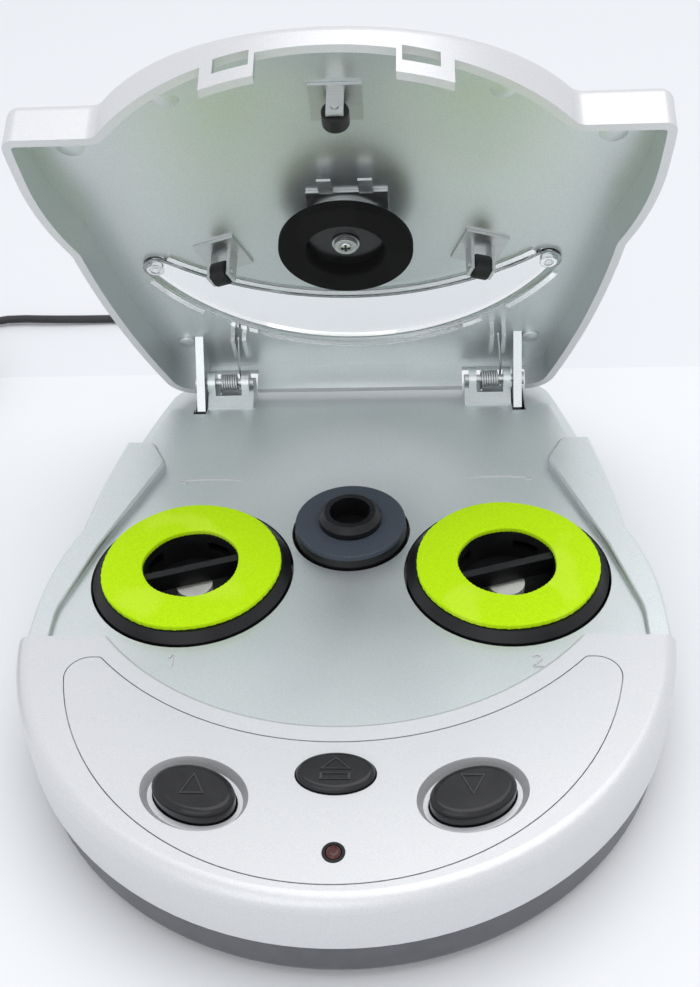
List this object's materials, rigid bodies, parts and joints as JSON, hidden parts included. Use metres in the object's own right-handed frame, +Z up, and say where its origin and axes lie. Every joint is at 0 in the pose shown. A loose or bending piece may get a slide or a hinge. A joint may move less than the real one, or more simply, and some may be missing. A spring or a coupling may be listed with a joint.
{
  "type": "disc repair machine",
  "caption": "Desktop machine that polishes scratched optical discs: hinged lid with clamp and rollers, turntable, turning pads, buttons, and a low-voltage supply lead with its adapter.",
  "frame": {"origin": "middle of the machine's own footprint, open lid included, on the table", "axes": "+X to the machine's right as its user sees it, +Y to the back, +Z up"},
  "size_m": [0.2829, 0.2373, 0.1373],
  "materials": {
    "silver_shell": "satin silver paint on moulded plastic",
    "silver_inside": "satin silver paint, a little darker",
    "grey_pan": "satin grey moulded plastic",
    "clear_plastic": "clear moulded plastic",
    "black_plastic": "satin black moulded plastic",
    "black_gloss": "gloss black moulded plastic",
    "white_plastic": "white moulded plastic",
    "green_felt": "lime green polishing foam",
    "ring_rubber": "blue-grey fine-grained rubber",
    "black_foam": "soft black foam rubber",
    "rubber": "matt black",
    "steel": "stamped bright steel",
    "board": "green laminate",
    "lamp": "dark red lens",
    "cord": "black cord jacket",
    "brass": "plain"
  },
  "bodies": {
    "base": {"pan": "grey_pan", "top_shell": "silver_shell", "foot_1": "rubber", "foot_2": "rubber", "foot_3": "rubber", "foot_4": "rubber", "panel_inlay": "silver_shell", "circuit_board": "board", "clean_switch": "black_plastic", "repair_switch": "black_plastic", "lamp_bezel": "black_plastic", "lamp": "lamp", "gear_plate": "steel", "motor": "steel", "hinge_pin_left": "steel", "hinge_pin_right": "steel", "hinge_spring_left": "steel", "hinge_spring_right": "steel", "supply_jack": "black_plastic", "supply_plug": "rubber", "supply_lead": "cord", "supply_coil": "cord", "supply_tail": "cord", "adapter": "black_plastic", "adapter_blades": "brass", "coil_tie": "rubber"},
    "lid": {"lid": "silver_shell", "lid_window": "clear_plastic", "clamp_cup": "silver_inside", "clamp_plate": "steel", "spring_leg_left": "steel", "spring_leg_right": "steel", "roller_bracket_left": "steel", "roller_bracket_right": "steel", "roller_bracket_front": "steel", "roller_pin_left": "steel", "roller_pin_right": "steel", "roller_pin_front": "steel"},
    "clamp_stem": {"clamp_stem": "steel"},
    "clamp": {"clamp_ring": "black_foam", "clamp_core": "black_plastic"},
    "spindle": {"spindle_gear": "white_plastic", "spindle_hub": "black_plastic", "turntable_ring": "ring_rubber"},
    "idler": {"idler_gear": "white_plastic"},
    "pinion": {"motor_pinion": "brass"},
    "clean_key": {"clean_key": "black_gloss"},
    "repair_key": {"repair_key": "black_gloss"},
    "open_key": {"open_key": "black_gloss"},
    "latch": {"latch_slide": "grey_pan"},
    "roller_left": {"roller_left": "black_foam"},
    "roller_right": {"roller_right": "black_foam"},
    "roller_front": {"roller_front": "black_foam"},
    "pad_left": {"pad_gear_left": "white_plastic", "pad_holder_left": "black_plastic", "pad_left": "green_felt"},
    "pad_right": {"pad_gear_right": "white_plastic", "pad_holder_right": "black_plastic", "pad_right": "green_felt"}
  },
  "joints": [
    {"name": "lid_hinge", "type": "hinge", "parent": "base", "child": "lid", "pos_m": [0, 0.07574, 0.0254], "axis": [1, 0, 0], "range_deg": [0, 65], "stiffness_Nm_per_rad": 0.0165, "springref_deg": -85.94},
    {"name": "clamp_float", "type": "slide", "parent": "lid", "child": "clamp_stem", "axis": [0, 0.9063, 0.4226], "range_m": [0, 0.0009], "stiffness_N_per_m": 250, "springref_m": -0.0012},
    {"name": "clamp_spin", "type": "hinge", "parent": "clamp_stem", "child": "clamp", "pos_m": [0, 0.05281, 0.07837], "axis": [0, 0.9063, 0.4226], "continuous": true},
    {"name": "spindle_spin", "type": "hinge", "parent": "base", "child": "spindle", "pos_m": [0, 0.01804, 0.02], "axis": [0, 0, 1], "continuous": true},
    {"name": "roller_left_spin", "type": "hinge", "parent": "lid", "child": "roller_left", "pos_m": [-0.031, 0.05924, 0.06835], "axis": [-0.9346, 0.1503, -0.3224], "continuous": true},
    {"name": "roller_right_spin", "type": "hinge", "parent": "lid", "child": "roller_right", "pos_m": [0.0317, 0.05903, 0.06881], "axis": [0.9419, 0.1419, -0.3043], "continuous": true},
    {"name": "roller_front_spin", "type": "hinge", "parent": "lid", "child": "roller_front", "pos_m": [0.0004, 0.03693, 0.11621], "axis": [0.0098, -0.4226, 0.9063], "continuous": true},
    {"name": "pad_left_spin", "type": "hinge", "parent": "base", "child": "pad_left", "pos_m": [-0.03621, 0.00356, 0.02], "axis": [0, 0, 1], "continuous": true},
    {"name": "pad_right_spin", "type": "hinge", "parent": "base", "child": "pad_right", "pos_m": [0.03621, 0.00356, 0.02], "axis": [0, 0, 1], "continuous": true},
    {"name": "idler_spin", "type": "hinge", "parent": "base", "child": "idler", "pos_m": [-0.01328, 0.04934, 0.014], "axis": [0, 0, 1], "continuous": true},
    {"name": "pinion_spin", "type": "hinge", "parent": "base", "child": "pinion", "pos_m": [0.00665, 0.05864, 0.015], "axis": [0, 0, 1], "continuous": true},
    {"name": "clean_press", "type": "slide", "parent": "base", "child": "clean_key", "axis": [0, 0.0262, -0.9997], "range_m": [0, 0.0012], "stiffness_N_per_m": 400, "springref_m": -0.0015},
    {"name": "repair_press", "type": "slide", "parent": "base", "child": "repair_key", "axis": [0, 0.0262, -0.9997], "range_m": [0, 0.0012], "stiffness_N_per_m": 400, "springref_m": -0.0015},
    {"name": "open_press", "type": "slide", "parent": "base", "child": "open_key", "axis": [0, 0.0262, -0.9997], "range_m": [0, 0.0012], "stiffness_N_per_m": 400, "springref_m": -0.0015},
    {"name": "latch_stroke", "type": "slide", "parent": "base", "child": "latch", "axis": [0, -1, 0], "range_m": [0, 0.002]}
  ],
  "couplings": [
    {"joint": "pad_left_spin", "follows": "spindle_spin", "ratio": -2.25},
    {"joint": "pad_right_spin", "follows": "spindle_spin", "ratio": -2.25},
    {"joint": "idler_spin", "follows": "spindle_spin", "ratio": -3.8571},
    {"joint": "pinion_spin", "follows": "spindle_spin", "ratio": 13.114},
    {"joint": "latch_stroke", "follows": "open_press", "ratio": 1.6667}
  ]
}
